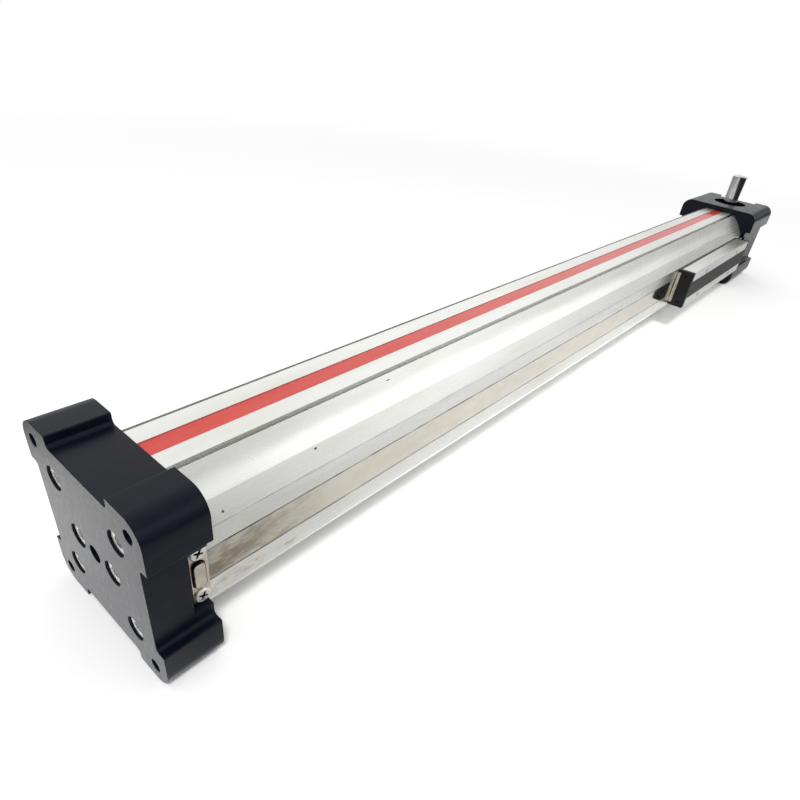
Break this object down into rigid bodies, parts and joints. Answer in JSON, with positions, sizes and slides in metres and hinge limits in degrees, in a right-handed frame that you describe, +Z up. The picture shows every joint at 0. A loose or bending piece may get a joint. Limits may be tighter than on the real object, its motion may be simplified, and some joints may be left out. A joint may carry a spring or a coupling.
{
  "type": "electric linear actuator",
  "caption": "Rodless belt-drive linear actuator: slotted aluminium barrel with a steel sealing band, sliding carriage, black end caps and a round drive shaft across the axis.",
  "frame": {"origin": "middle of the idle cap's outer face, on the actuator's axis", "axes": "+X along the axis to the drive end, -Y towards the slot and the carriage, +Z up along the drive shaft; the lugs' undersides lie at z = -43.5 mm"},
  "size_m": [0.845, 0.0925, 0.119],
  "materials": {
    "anodised_aluminium": "clear anodised extrusion, fine draw lines",
    "red_plastic": "smooth extruded strip",
    "polished_steel": "polished stainless band with wear stains",
    "black_anodised": "black anodised, satin, scuffed on the end face",
    "zinc_steel": "bright zinc",
    "clamp_steel": "pressed stainless plate",
    "belt_rubber": "moulded polyurethane with steel cords",
    "pulley_aluminium": "machined",
    "ground_steel": "ground and polished",
    "bearing_steel": "ground",
    "spring_steel": "black oxide",
    "black_plastic": "fine moulded grain",
    "wiper_felt": "pressed felt",
    "guide_plastic": "acetal"
  },
  "bodies": {
    "base": {"profile_barrel": "anodised_aluminium", "red_strip": "red_plastic", "sealing_band": "polished_steel", "idle_end_cap": "black_anodised", "drive_end_cap": "black_anodised", "idle_cap_screws": "zinc_steel", "drive_cap_screws": "zinc_steel", "tension_screws": "zinc_steel", "idle_band_clamp": "clamp_steel", "drive_band_clamp": "clamp_steel", "band_clamp_screws": "zinc_steel", "toothed_belt": "belt_rubber", "shaft_bearing_outer_rings": "bearing_steel", "bearing_circlip": "spring_steel", "idler_yoke": "pulley_aluminium", "idler_axle": "ground_steel", "idler_bearing_inner_rings": "bearing_steel"},
    "carriage": {"carriage_yoke": "anodised_aluminium", "yoke_screws": "spring_steel", "cover_strip": "black_plastic", "near_end_plate": "black_plastic", "far_end_plate": "black_plastic", "end_plate_screws": "spring_steel", "band_wipers": "wiper_felt", "inner_slider": "pulley_aluminium", "guide_rings": "guide_plastic", "belt_clamps": "pulley_aluminium", "belt_clamp_screws": "spring_steel"},
    "drive": {"drive_shaft": "ground_steel", "drive_pulley": "pulley_aluminium", "pulley_key": "ground_steel", "shaft_bearing_inner_rings": "bearing_steel"},
    "idler": {"idler_pulley": "pulley_aluminium", "idler_bearing_outer_rings": "bearing_steel"}
  },
  "joints": [
    {"name": "carriage_slide", "type": "slide", "parent": "base", "child": "carriage", "axis": [1, 0, 0], "range_m": [-0.45, 0.005], "deforming": ["toothed_belt", "sealing_band"]},
    {"name": "shaft_spin", "type": "hinge", "parent": "base", "child": "drive", "pos_m": [0.803, 0, 0], "axis": [0, 0, 1], "continuous": true},
    {"name": "idler_spin", "type": "hinge", "parent": "base", "child": "idler", "pos_m": [0.073, 0, 0], "axis": [0, 0, 1], "continuous": true}
  ],
  "couplings": [
    {"joint": "shaft_spin", "follows": "carriage_slide", "rad_per_m": 62.832},
    {"joint": "idler_spin", "follows": "carriage_slide", "rad_per_m": 62.832}
  ]
}
